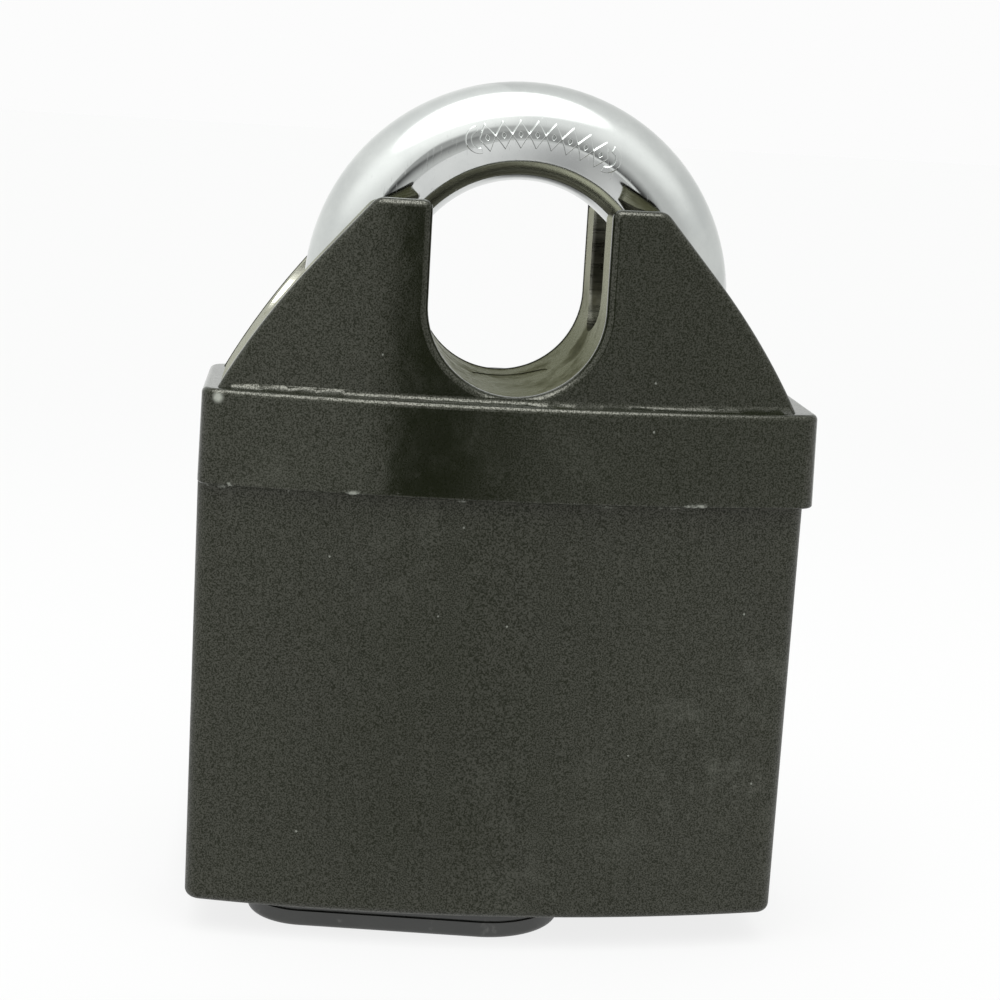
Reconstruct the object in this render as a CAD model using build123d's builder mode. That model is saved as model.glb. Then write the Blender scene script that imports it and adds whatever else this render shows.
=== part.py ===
"""Heavy closed-shackle padlock: hardened block in a plastic jacket, ball locking, disc cylinder.

Millimetres, +Z up.  The origin is on the key cylinder's axis, in the plane that the lock stands on,
which is the underside of the swinging keyway cover.  +X runs towards the shackle's heel leg and
-Y towards the front.  The rest position is closed and unlocked: the shackle is down and both
locking balls are drawn in.
"""
from build123d import *
import os
from math import cos, radians, sin, sqrt

os.makedirs("parts", exist_ok=True)

# ---------------------------------------------------------------- driving dimensions
# Heights
COVER_T = 2.4
BOSS_Z = 2.5
BODY_Z = 4.7
LIP_Z = 64.25
BAND_TOP = 77.2
NOTCH_Z = 90.0
SHROUD_TOP = 103.65
BEND_Z = 90.05

# The body's middle stands a little to the toe side of the shackle and the key cylinder,
# and the middle of its horns and notch a little further still.
BODY_X = -0.5
HORNS_X = -1.0

# Jacket
BAND_HALF_W = 42.1
BAND_HALF_D = 17.25
BAND_DRAFT = 0.25
PLATE_HALF_D = 15.3
SLEEVE_HALF_W = 41.6
SLEEVE_HALF_D = 15.55
SLEEVE_WALL = 1.5
SLEEVE_X = BODY_X - 0.5
SLEEVE_GAP = 0.15
SLEEVE_FLOOR = 1.8
FACE_GAP = 1.0
SLEEVE_ROUND = 1.3
LEDGE_T = 1.7
CORNER_R = 2.4
CROWN_R = 195.0
PLATE_ROUND = 1.0
LEDGE_ROUND = 0.8
COVE_R = 0.85
COVE_TURN = 11.2
LIP_ROUND = 0.35
FIT = 0.1

# Hardened block
BLOCK_HALF_W = 39.5
BLOCK_HALF_D = 13.9
NOTCH_R = 11.9
STEEL_INSET = 0.1
STEEL_DROP = 0.6
STEEL_CHAMFER = 0.4
FOOT_HALF_W = 39.3
SHOULDER_X = 26.8
SHOULDER_Z = 94.95
FLANK_ANGLE = 48.7
HORN_OUT_R = 2.2
HORN_IN_R = 1.2
SLOT_W = 13.9
SLOT_Z = 85.85

# Shackle
ROD_R = 6.65
BEND_R = 22.8
LEG_GAP = 0.3
LIFT = 47.0
TOE_Z = 57.45
HEEL_Z = 24.65
LEG_ROUND = 1.2
BORE_BELOW = 1.5
SEAL_Z = 83.6
SEAL_T = 1.7
SEAL_W = 1.1
NECK_R = 4.85
NECK_LEN = 4.6

# Locking balls and their driver
BALL_R = 4.5
BALL_Z = 66.45
BALL_IN = 11.5
BALL_STROKE = 2.55
BALL_FIT = 0.1
POCKET_GAP = 0.25
CAM_GAP = 0.3
CAM_H = 9.4
CHAMBER_TOP = 72.45
STUB_R = 3.0
NECK_ROD_R = 4.4
TONGUE_L = 8.6
TONGUE_W = 3.0
TONGUE_H = 2.6

# Key cylinder
CYL_R = 10.0
CYL_FIT = 0.05
GUARD_T = 2.5
HOUSING_TOP = 60.25
HOUSING_FACE = 2.0
WASHER_PLAY = 0.2
DRUM_R = 7.5
DRUM_FIT = 0.1
DRUM_WALL = 1.2
DRUM_TOP = 54.05
DISC_R = 6.2
DISC_T = 2.4
SPACER_T = 0.8
DISC_COUNT = 10
DISC_PLAY = 0.1
KEYWAY_W = 2.8
KEYWAY_L = 7.6
MOUTH_R = 4.2
SIDEBAR_W = 2.0
SIDEBAR_D = 2.1
SIDEBAR_ROUND = 0.5
GATE_D = 1.15
FIRST_GATE = -140.0
GATE_STEP = 14.0
CODES = 6
GROOVE_D = 1.0
CLIP_T = 1.1
CLIP_GRIP = 0.7
CLIP_BORE_R = 5.6

# Keyway cover and the boss that carries it
COVER_R = 11.3
PIVOT_END_R = 8.5
PIVOT_X = -25.5
PIVOT_R = 2.0
HEAD_R = 3.6
HEAD_T = 1.0
HEAD_SUNK = 0.3
STOP_ANGLE = 120.0
STOP_ARC_R = 6.2
STOP_R = 0.9
SCREW_X = -13.5
SCREW_Y = 5.2
SCREW_R = 1.5
SCREW_HEAD_R = 2.8
SCREW_CONE = 90.0
SOCKET_SIDES = 6
SOCKET_R = 1.1
SCREW_TOP = 13.45
BOSS_CHAMFER = 0.25
WASHER_R = 4.8
WASHER_T = 0.45
STOP_LUG_H = 1.0
COVER_ROUND = 0.9

# Small fixed pins
STOP_PIN_R = 2.0
STOP_PIN_Z = 76.95
STOP_PIN_GAP = 0.25
LOCK_PIN_R = 1.5
LOCK_PIN_Z = 19.45
LOCK_PIN_L = 22.0
PLUG_R = 5.3
PLUG_Y = 3.0
SNAP_Z = 72.85
SNAP_H = 1.2
SNAP_D = 0.5
SNAP_L = 16.0

# ---------------------------------------------------------------- derived dimensions
BLOCK_Z = BODY_Z + SLEEVE_FLOOR
SHOULDER_TOP = BAND_TOP - LEDGE_T
STEEL_TOP = SHROUD_TOP - STEEL_DROP
BORE_R = ROD_R + LEG_GAP
CHAMBER_R = CYL_R + CYL_FIT
HOUSING_Z = BLOCK_Z + GUARD_T + FIT
DRUM_Z = HOUSING_Z + HOUSING_FACE + DRUM_FIT
DRUM_BORE = DRUM_R - DRUM_WALL
ENTRY_Z = DRUM_Z + HOUSING_FACE + DISC_PLAY
DISC_PITCH = DISC_T + SPACER_T + 2 * DISC_PLAY
STACK_Z = ENTRY_Z + HOUSING_FACE + DISC_PLAY
STACK_TOP = STACK_Z + DISC_COUNT * DISC_PITCH
CAM_Z = BALL_Z - CAM_H / 2
CAM_MINOR = BALL_IN - BALL_R - CAM_GAP
POCKET_X = BALL_IN + BALL_STROKE
CAM_MAJOR = BALL_IN + BALL_STROKE - BALL_R - CAM_GAP
STOP_PIN_X = BEND_R + NECK_R + STOP_PIN_GAP + STOP_PIN_R
NECK_Z = STOP_PIN_Z - LIFT - NECK_LEN / 2
STOP_END_X = PIVOT_X + STOP_ARC_R * cos(radians(STOP_ANGLE))
STOP_END_Y = -STOP_ARC_R * sin(radians(STOP_ANGLE))
LONG = 200.0


# Upright planes of the front outlines, through the body's middle and the horns' middle.
FRONT = Plane((BODY_X, 0, 0), x_dir=(1, 0, 0), z_dir=(0, -1, 0))
HORNS_FRONT = Plane((HORNS_X, 0, 0), x_dir=(1, 0, 0), z_dir=(0, -1, 0))


def level(height, x=BODY_X):
    """Horizontal plane at that height, centred on the body."""
    return Plane((x, 0, height))


# ---------------------------------------------------------------- shared outlines
def crowned_plan(half_w, half_d, corner=0.0):
    """Plan outline with straight ends and gently crowned front and back sides."""
    sag = CROWN_R - sqrt(CROWN_R**2 - half_w**2)
    end_y = half_d - sag
    with BuildSketch() as plan:
        with BuildLine():
            Polyline((half_w, end_y), (half_w, -end_y))
            ThreePointArc((half_w, -end_y), (0, -half_d), (-half_w, -end_y))
            Polyline((-half_w, -end_y), (-half_w, end_y))
            ThreePointArc((-half_w, end_y), (0, half_d), (half_w, end_y))
        make_face()
        if corner > 0:
            fillet(plan.vertices(), radius=corner)
    return plan.sketch


def horn_outline(inset, top):
    """Front outline of the shroud: two horns with sloping shoulders and the U notch between them."""
    slope = radians(FLANK_ANGLE)
    notch_half = NOTCH_R + inset
    foot_x = FOOT_HALF_W - inset
    bend_x = SHOULDER_X - inset
    top_x = bend_x - (top - SHOULDER_Z) * cos(slope) / sin(slope)
    with BuildSketch() as outline:
        with BuildLine():
            Polyline(
                (foot_x, LIP_Z),
                (foot_x, BAND_TOP),
            )
            TangentArc(
                (bend_x, SHOULDER_Z),
                (foot_x, BAND_TOP),
                tangent=(cos(slope), -sin(slope)),
            )
            Polyline((bend_x, SHOULDER_Z), (top_x, top), (notch_half, top), (notch_half, NOTCH_Z))
            ThreePointArc((notch_half, NOTCH_Z), (0, NOTCH_Z - notch_half), (-notch_half, NOTCH_Z))
            Polyline((-notch_half, NOTCH_Z), (-notch_half, top), (-top_x, top), (-bend_x, SHOULDER_Z))
            TangentArc(
                (-bend_x, SHOULDER_Z),
                (-foot_x, BAND_TOP),
                tangent=(-cos(slope), -sin(slope)),
            )
            Polyline((-foot_x, BAND_TOP), (-foot_x, LIP_Z), (foot_x, LIP_Z))
        make_face()
        top_corners = outline.vertices().group_by(Axis.Y)[-1]
        fillet(top_corners.filter_by(lambda v: abs(v.X) > (top_x + notch_half) / 2), radius=HORN_OUT_R)
        top_corners = outline.vertices().group_by(Axis.Y)[-1]
        fillet(top_corners.filter_by(lambda v: abs(v.X) < notch_half + FIT), radius=HORN_IN_R)
    return outline.sketch


def cover_outline(grow=0.0):
    """Teardrop outline shared by the keyway boss and its cover."""
    with BuildSketch() as outline:
        Circle(COVER_R + grow)
        with Locations((PIVOT_X, 0)):
            Circle(PIVOT_END_R + grow)
        make_hull()
    return outline.sketch


def keyhole():
    """Slot for the key's blade, with round ends."""
    with BuildSketch() as hole:
        Circle(KEYWAY_L / 2)
        Rectangle(KEYWAY_L, KEYWAY_W, mode=Mode.INTERSECT)
    return hole.sketch


def cross_pins():
    """Round holes of the heel stop pin and the two cylinder lock pins, seen from the front."""
    with BuildSketch() as holes:
        with Locations((STOP_PIN_X, STOP_PIN_Z)):
            Circle(STOP_PIN_R)
        with Locations((-CHAMBER_R, LOCK_PIN_Z), (CHAMBER_R, LOCK_PIN_Z)):
            Circle(LOCK_PIN_R)
    return holes.sketch


# ---------------------------------------------------------------- hardened block
with BuildPart() as lock_block:
    with BuildSketch(level(BLOCK_Z)):
        add(crowned_plan(BLOCK_HALF_W, BLOCK_HALF_D, CORNER_R))
    extrude(amount=STEEL_TOP - BLOCK_Z)
    # The shroud narrows above the shoulder and the notch divides it into two horns.
    with BuildSketch(HORNS_FRONT):
        add(horn_outline(STEEL_INSET, STEEL_TOP))
        with Locations((0, (BLOCK_Z + SHOULDER_TOP) / 2)):
            Rectangle(2 * BAND_HALF_W, SHOULDER_TOP - BLOCK_Z)
    extrude(amount=LONG / 2, both=True, mode=Mode.INTERSECT)
    # Round-bottomed slot between the front and back cheeks, for the bow.
    with BuildSketch(Plane.YZ):
        with Locations((0, SLOT_Z + SLOT_W / 2)):
            Circle(SLOT_W / 2)
            Rectangle(SLOT_W, LONG, align=(Align.CENTER, Align.MIN))
    extrude(amount=LONG / 2, both=True, mode=Mode.SUBTRACT)
    # Leg bores: shallow at the toe, deep at the heel.
    with BuildSketch(Plane.XY.offset(TOE_Z - BORE_BELOW)):
        with Locations((-BEND_R, 0)):
            Circle(BORE_R)
    extrude(amount=SLOT_Z, mode=Mode.SUBTRACT)
    with BuildSketch(Plane.XY.offset(HEEL_Z - BORE_BELOW)):
        with Locations((BEND_R, 0)):
            Circle(BORE_R)
    extrude(amount=SLOT_Z, mode=Mode.SUBTRACT)
    # Grooves for the two leg seals.
    with BuildSketch(Plane.XY.offset(SEAL_Z)):
        with Locations((-BEND_R, 0), (BEND_R, 0)):
            Circle(BORE_R + SEAL_W)
    extrude(amount=SEAL_T, mode=Mode.SUBTRACT)
    # Chamber for the key cylinder and the ball driver.
    with BuildSketch(Plane.XY.offset(BLOCK_Z)):
        Circle(CHAMBER_R)
    extrude(amount=CHAMBER_TOP - BLOCK_Z, mode=Mode.SUBTRACT)
    # Cross bore for the balls, drilled in from the heel side.
    with BuildSketch(Plane.YZ.offset(-BEND_R)):
        with Locations((0, BALL_Z)):
            Circle(BALL_R + BALL_FIT)
    extrude(amount=BEND_R + BLOCK_HALF_W, mode=Mode.SUBTRACT)
    # Plugged hole in the bottom of the notch.
    with BuildSketch(Plane.XY.offset(CHAMBER_TOP - FIT)):
        with Locations((0, PLUG_Y)):
            Circle(PLUG_R)
    extrude(amount=NOTCH_Z - CHAMBER_TOP, mode=Mode.SUBTRACT)
    # Blind cross holes for the pins, drilled in from the front.
    with BuildSketch(Plane.XZ.offset(-CYL_R)):
        add(cross_pins())
    extrude(amount=LONG / 2, mode=Mode.SUBTRACT)
    # Holes in the underside for the boss screws and the cover's pivot.
    with BuildSketch(Plane.XY.offset(BLOCK_Z)):
        with Locations((SCREW_X, SCREW_Y), (SCREW_X, -SCREW_Y)):
            Circle(SCREW_R + CYL_FIT)
        with Locations((PIVOT_X, 0)):
            Circle(PIVOT_R + CYL_FIT)
    extrude(amount=SCREW_TOP - BLOCK_Z + FIT, mode=Mode.SUBTRACT)
    # Snap grooves for the top cover.
    with BuildSketch(FRONT):
        with Locations((-BLOCK_HALF_W, SNAP_Z), (BLOCK_HALF_W, SNAP_Z)):
            Rectangle(2 * SNAP_D + 2 * FIT, SNAP_H + 2 * FIT)
    extrude(amount=SNAP_L / 2 + FIT, both=True, mode=Mode.SUBTRACT)
    chamfer(lock_block.faces().sort_by(Axis.Z)[0].outer_wire().edges(), length=STEEL_CHAMFER)
lock_block.part.label = "lock_block"
export_step(lock_block.part, "parts/lock_block.step")

with BuildPart() as notch_plug:
    with BuildSketch(Plane.XY.offset(CHAMBER_TOP)):
        with Locations((0, PLUG_Y)):
            Circle(PLUG_R)
    extrude(amount=NOTCH_Z - CHAMBER_TOP)
    # Its top follows the round bottom of the notch.
    with BuildSketch(HORNS_FRONT):
        with Locations((0, NOTCH_Z)):
            Circle(NOTCH_R + STEEL_INSET + FIT)
    extrude(amount=LONG / 2, both=True, mode=Mode.SUBTRACT)
notch_plug.part.label = "notch_plug"
export_step(notch_plug.part, "parts/notch_plug.step")

with BuildPart() as cross_bore_plug:
    with BuildSketch(Plane.YZ.offset(BEND_R + BORE_R + BORE_BELOW)):
        with Locations((0, BALL_Z)):
            Circle(BALL_R + BALL_FIT)
    extrude(amount=BODY_X + BLOCK_HALF_W - FIT - BEND_R - BORE_R - BORE_BELOW)
    chamfer(cross_bore_plug.edges().filter_by(GeomType.CIRCLE), length=STEEL_CHAMFER)
cross_bore_plug.part.label = "cross_bore_plug"
export_step(cross_bore_plug.part, "parts/cross_bore_plug.step")

with BuildPart() as heel_stop_pin:
    with BuildSketch(Plane.XZ.offset(-CYL_R + FIT)):
        with Locations((STOP_PIN_X, STOP_PIN_Z)):
            Circle(STOP_PIN_R)
    extrude(amount=2 * CYL_R)
    chamfer(heel_stop_pin.edges().filter_by(GeomType.CIRCLE), length=STEEL_CHAMFER)
heel_stop_pin.part.label = "heel_stop_pin"
export_step(heel_stop_pin.part, "parts/heel_stop_pin.step")

with BuildPart() as cylinder_lock_pins:
    with BuildSketch(Plane.XZ.offset(-CYL_R + FIT)):
        with Locations((-CHAMBER_R, LOCK_PIN_Z), (CHAMBER_R, LOCK_PIN_Z)):
            Circle(LOCK_PIN_R)
    extrude(amount=LOCK_PIN_L)
cylinder_lock_pins.part.label = "cylinder_lock_pins"
export_step(cylinder_lock_pins.part, "parts/cylinder_lock_pins.step")

with BuildPart() as shackle_seals:
    with BuildSketch(Plane.XY.offset(SEAL_Z + FIT)):
        with Locations((-BEND_R, 0), (BEND_R, 0)):
            Circle(BORE_R + SEAL_W - FIT)
            Circle(ROD_R + LEG_GAP / 2, mode=Mode.SUBTRACT)
    extrude(amount=SEAL_T - 2 * FIT)
shackle_seals.part.label = "shackle_seals"
export_step(shackle_seals.part, "parts/shackle_seals.step")

# ---------------------------------------------------------------- jacket
# Front and back cheek plates of the top cover, before they join the band.
with BuildPart() as cheek_plates:
    with BuildSketch(level(LIP_Z)):
        add(crowned_plan(BAND_HALF_W, PLATE_HALF_D))
    extrude(amount=SHROUD_TOP - LIP_Z)
    with BuildSketch(HORNS_FRONT):
        add(horn_outline(0.0, SHROUD_TOP))
    extrude(amount=LONG / 2, both=True, mode=Mode.INTERSECT)
    front_and_back = cheek_plates.faces().filter_by(GeomType.CYLINDER).sort_by(Axis.Y)
    rims = (front_and_back[0].edges() + front_and_back[-1].edges()).filter_by(
        lambda e: e.center().Z > LIP_Z + LEDGE_T
    )
    fillet(rims, radius=PLATE_ROUND)

# Coves between the band's ledge and the feet of the cheek plates, swept along the crown.
with BuildPart() as plate_coves:
    with BuildSketch(Plane((BODY_X, 0, BAND_TOP), x_dir=(0, 1, 0), z_dir=(1, 0, 0))):
        with Locations((-PLATE_HALF_D + FIT, -FIT)):
            Rectangle(COVE_R + FIT, COVE_R + FIT, align=(Align.MAX, Align.MIN))
        with Locations((-PLATE_HALF_D - COVE_R, COVE_R)):
            Circle(COVE_R, mode=Mode.SUBTRACT)
    revolve(axis=Axis((BODY_X, CROWN_R - PLATE_HALF_D, 0), (0, 0, 1)), revolution_arc=COVE_TURN)
    mirror(about=Plane.YZ.offset(BODY_X))
    mirror(about=Plane.XZ)

with BuildPart() as top_cover:
    # Drafted band, widest at its lower lip.
    with BuildSketch(level(LIP_Z)):
        add(crowned_plan(BAND_HALF_W, BAND_HALF_D, CORNER_R))
    with BuildSketch(level(BAND_TOP)):
        add(crowned_plan(BAND_HALF_W - BAND_DRAFT, BAND_HALF_D - BAND_DRAFT, CORNER_R))
    loft(ruled=True)
    fillet(top_cover.faces().sort_by(Axis.Z)[-1].outer_wire().edges(), radius=LEDGE_ROUND)
    fillet(top_cover.faces().sort_by(Axis.Z)[0].outer_wire().edges(), radius=LIP_ROUND)
    add(cheek_plates.part)
    add(plate_coves.part)
    # Hollow for the block's shoulders, its neck and the horns.
    with BuildSketch(level(LIP_Z - FIT)):
        add(crowned_plan(BLOCK_HALF_W + FIT, BLOCK_HALF_D + FIT / 2, CORNER_R))
    extrude(amount=SHOULDER_TOP - LIP_Z + 2 * FIT, mode=Mode.SUBTRACT)
    with BuildSketch(level(SHOULDER_TOP)):
        add(crowned_plan(BLOCK_HALF_W + FIT, BLOCK_HALF_D + FIT / 2))
        with Locations((HORNS_X - BODY_X, 0)):
            Rectangle(2 * (FOOT_HALF_W - STEEL_INSET + FIT), LONG, mode=Mode.INTERSECT)
    extrude(amount=LEDGE_T, mode=Mode.SUBTRACT)
    with BuildSketch(level(BAND_TOP)):
        add(crowned_plan(BAND_HALF_W + CORNER_R, BLOCK_HALF_D + FIT / 2))
    extrude(amount=LONG, mode=Mode.SUBTRACT)
    # Ribs that snap into the block's side grooves.
    with BuildSketch(FRONT):
        with Locations((-BLOCK_HALF_W, SNAP_Z), (BLOCK_HALF_W, SNAP_Z)):
            Rectangle(2 * SNAP_D, SNAP_H)
    extrude(amount=SNAP_L / 2, both=True)
top_cover.part.label = "top_cover"
export_step(top_cover.part, "parts/top_cover.step")

with BuildPart() as lower_sleeve:
    with BuildSketch(level(BODY_Z, SLEEVE_X)):
        add(crowned_plan(SLEEVE_HALF_W, SLEEVE_HALF_D, CORNER_R))
    extrude(amount=LIP_Z - SLEEVE_GAP - BODY_Z)
    fillet(lower_sleeve.faces().sort_by(Axis.Z)[0].outer_wire().edges(), radius=SLEEVE_ROUND)
    with BuildSketch(level(BLOCK_Z, SLEEVE_X)):
        add(crowned_plan(SLEEVE_HALF_W - SLEEVE_WALL, SLEEVE_HALF_D - SLEEVE_WALL, CORNER_R))
    extrude(amount=LONG, mode=Mode.SUBTRACT)
    with BuildSketch(Plane.XY.offset(BODY_Z)):
        Circle(MOUTH_R + FACE_GAP)
        with Locations((SCREW_X, SCREW_Y), (SCREW_X, -SCREW_Y)):
            Circle(SCREW_R + LEG_GAP)
        with Locations((PIVOT_X, 0)):
            Circle(PIVOT_R + LEG_GAP)
    extrude(amount=SLEEVE_FLOOR, mode=Mode.SUBTRACT)
lower_sleeve.part.label = "lower_sleeve"
export_step(lower_sleeve.part, "parts/lower_sleeve.step")

# ---------------------------------------------------------------- keyway boss and cover
with BuildPart() as keyway_boss:
    with BuildSketch(Plane.XY.offset(BOSS_Z)):
        add(cover_outline())
        Circle(MOUTH_R, mode=Mode.SUBTRACT)
    extrude(amount=BODY_Z - BOSS_Z)
    chamfer(keyway_boss.faces().sort_by(Axis.Z)[0].edges(), length=BOSS_CHAMFER)
    # Countersunk screw holes, the pivot's hole and the washer's recess.
    with Locations(Plane((0, 0, BOSS_Z), x_dir=(1, 0, 0), z_dir=(0, 0, -1))):
        with Locations((SCREW_X, SCREW_Y), (SCREW_X, -SCREW_Y)):
            CounterSinkHole(SCREW_R + CYL_FIT, SCREW_HEAD_R + CYL_FIT + FIT, counter_sink_angle=SCREW_CONE)
        with Locations((PIVOT_X, 0)):
            CounterBoreHole(PIVOT_R + CYL_FIT, WASHER_R + FIT, WASHER_T)
    # Lug that stops the cover's swing.
    with BuildSketch(Plane.XY.offset(COVER_T - STOP_LUG_H)):
        with Locations((PIVOT_X + STOP_ARC_R, 0)):
            Circle(STOP_R)
    extrude(amount=BOSS_Z - COVER_T + STOP_LUG_H + FIT)
keyway_boss.part.label = "keyway_boss"
export_step(keyway_boss.part, "parts/keyway_boss.step")

with BuildPart() as boss_screw:
    with BuildSketch(Plane.XZ):
        with BuildLine():
            Polyline(
                (0, BOSS_Z + FIT),
                (SCREW_HEAD_R, BOSS_Z + FIT),
                (SCREW_R, BOSS_Z + FIT + SCREW_HEAD_R - SCREW_R),
                (SCREW_R, SCREW_TOP - SCREW_R / 2),
                (SCREW_R / 2, SCREW_TOP),
                (0, SCREW_TOP),
                close=True,
            )
        make_face()
    revolve(axis=Axis.Z)
    # Hexagon socket.
    with BuildSketch(Plane.XY.offset(BOSS_Z + FIT)):
        RegularPolygon(SOCKET_R, SOCKET_SIDES)
    extrude(amount=SCREW_R, mode=Mode.SUBTRACT)

with BuildPart() as boss_screws:
    with Locations((SCREW_X, SCREW_Y, 0), (SCREW_X, -SCREW_Y, 0)):
        add(boss_screw.part)
boss_screws.part.label = "boss_screws"
export_step(boss_screws.part, "parts/boss_screws.step")

with BuildPart() as cover_washer:
    with BuildSketch(Plane.XY.offset(BOSS_Z)):
        with Locations((PIVOT_X, 0)):
            Circle(WASHER_R)
            Circle(PIVOT_R + CYL_FIT, mode=Mode.SUBTRACT)
    extrude(amount=WASHER_T - FIT / 2)
cover_washer.part.label = "cover_washer"
export_step(cover_washer.part, "parts/cover_washer.step")

with BuildPart() as cover_pivot:
    with BuildSketch(Plane.XY.offset(HEAD_SUNK)):
        with Locations((PIVOT_X, 0)):
            Circle(HEAD_R)
    extrude(amount=HEAD_T)
    fillet(cover_pivot.faces().sort_by(Axis.Z)[0].edges(), radius=HEAD_T / 2)
    with BuildSketch(Plane.XY.offset(HEAD_SUNK)):
        with Locations((PIVOT_X, 0)):
            Circle(PIVOT_R)
    extrude(amount=SCREW_TOP - HEAD_SUNK)
cover_pivot.part.label = "cover_pivot"
export_step(cover_pivot.part, "parts/cover_pivot.step")

with BuildPart() as keyway_cover:
    with BuildSketch():
        add(cover_outline())
    extrude(amount=COVER_T)
    fillet(keyway_cover.faces().sort_by(Axis.Z)[0].edges(), radius=COVER_ROUND)
    with Locations(Plane((PIVOT_X, 0, 0), x_dir=(1, 0, 0), z_dir=(0, 0, -1))):
        CounterBoreHole(PIVOT_R + CYL_FIT, HEAD_R + LEG_GAP, HEAD_SUNK + HEAD_T + FIT)
    # Arc groove that the stop lug runs in.
    with BuildSketch(Plane.XY.offset(COVER_T)):
        with BuildLine():
            CenterArc((PIVOT_X, 0), STOP_ARC_R, 0, -STOP_ANGLE)
        trace(line_width=2 * STOP_R + 2 * LEG_GAP)
        with Locations((PIVOT_X + STOP_ARC_R, 0), (STOP_END_X, STOP_END_Y)):
            Circle(STOP_R + LEG_GAP)
    extrude(amount=-STOP_LUG_H - LEG_GAP, mode=Mode.SUBTRACT)
keyway_cover.part.label = "keyway_cover"
export_step(keyway_cover.part, "parts/keyway_cover.step")

# ---------------------------------------------------------------- shackle
with BuildPart() as shackle:
    with BuildSketch(Plane.XY.offset(BEND_Z)):
        with Locations((BEND_R, 0)):
            Circle(ROD_R)
    revolve(axis=Axis((0, 0, BEND_Z), (0, -1, 0)), revolution_arc=180)
    with BuildSketch(Plane.XY.offset(BEND_Z)):
        with Locations((BEND_R, 0)):
            Circle(ROD_R)
    extrude(amount=HEEL_Z - BEND_Z)
    with BuildSketch(Plane.XY.offset(BEND_Z)):
        with Locations((-BEND_R, 0)):
            Circle(ROD_R)
    extrude(amount=TOE_Z - BEND_Z)
    leg_ends = shackle.faces().filter_by(Plane.XY).sort_by(Axis.Z)[:2]
    fillet(leg_ends.edges(), radius=LEG_ROUND)
    # Ball pockets on the inner side of both legs.
    with Locations((-POCKET_X, 0, BALL_Z), (POCKET_X, 0, BALL_Z)):
        Sphere(BALL_R + POCKET_GAP, mode=Mode.SUBTRACT)
    # Long flat on the heel leg for the stop pin, and the neck that frees the shackle to swivel
    # once it is fully raised.
    with BuildSketch(Plane.XY.offset(NECK_Z)):
        with Locations((BEND_R + NECK_R + ROD_R, 0)):
            Rectangle(2 * ROD_R, 2 * ROD_R + LEG_GAP)
    extrude(amount=LIFT + NECK_LEN, mode=Mode.SUBTRACT)
    with BuildSketch(Plane.XY.offset(NECK_Z)):
        with Locations((BEND_R, 0)):
            Circle(ROD_R + LEG_GAP)
            Circle(NECK_R, mode=Mode.SUBTRACT)
    extrude(amount=NECK_LEN, mode=Mode.SUBTRACT)
shackle.part.label = "shackle"
export_step(shackle.part, "parts/shackle.step")

# ---------------------------------------------------------------- locking balls and driver
for side, ball_name in ((-1, "toe_ball"), (1, "heel_ball")):
    with BuildPart() as ball:
        with Locations((side * BALL_IN, 0, BALL_Z)):
            Sphere(BALL_R)
    ball.part.label = ball_name
    export_step(ball.part, f"parts/{ball_name}.step")

with BuildPart() as ball_driver:
    # Oval cam: its narrow width lies along X while the lock is open.
    with BuildSketch(Plane.XY.offset(CAM_Z)):
        Ellipse(CAM_MINOR, CAM_MAJOR)
    extrude(amount=CAM_H)
    chamfer(ball_driver.edges().group_by(Axis.Z)[-1], length=STEEL_CHAMFER)
    # Pivot stub above, neck and flat tongue below.
    with BuildSketch(Plane.XY.offset(CAM_Z + CAM_H)):
        Circle(STUB_R)
    extrude(amount=CHAMBER_TOP - CAM_Z - CAM_H - FIT)
    with BuildSketch(Plane.XY.offset(DRUM_TOP + FIT)):
        Circle(NECK_ROD_R)
    extrude(amount=CAM_Z - DRUM_TOP - FIT)
    with BuildSketch(Plane.XY.offset(DRUM_TOP + FIT)):
        Rectangle(TONGUE_L, TONGUE_W)
    extrude(amount=-TONGUE_H)
ball_driver.part.label = "ball_driver"
export_step(ball_driver.part, "parts/ball_driver.step")

with BuildPart() as thrust_washer:
    with BuildSketch(Plane.XY.offset(HOUSING_TOP + FIT)):
        Circle(CYL_R - FIT)
        Circle(NECK_ROD_R + LEG_GAP, mode=Mode.SUBTRACT)
    extrude(amount=CAM_Z - HOUSING_TOP - FIT - WASHER_PLAY)
thrust_washer.part.label = "thrust_washer"
export_step(thrust_washer.part, "parts/thrust_washer.step")

# ---------------------------------------------------------------- key cylinder
with BuildPart() as drill_guard:
    with BuildSketch(Plane.XY.offset(BLOCK_Z)):
        Circle(CYL_R)
        Circle(MOUTH_R, mode=Mode.SUBTRACT)
    extrude(amount=GUARD_T)
    chamfer(drill_guard.edges().group_by(Axis.Z)[0], length=STEEL_CHAMFER)
drill_guard.part.label = "drill_guard"
export_step(drill_guard.part, "parts/drill_guard.step")

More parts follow.
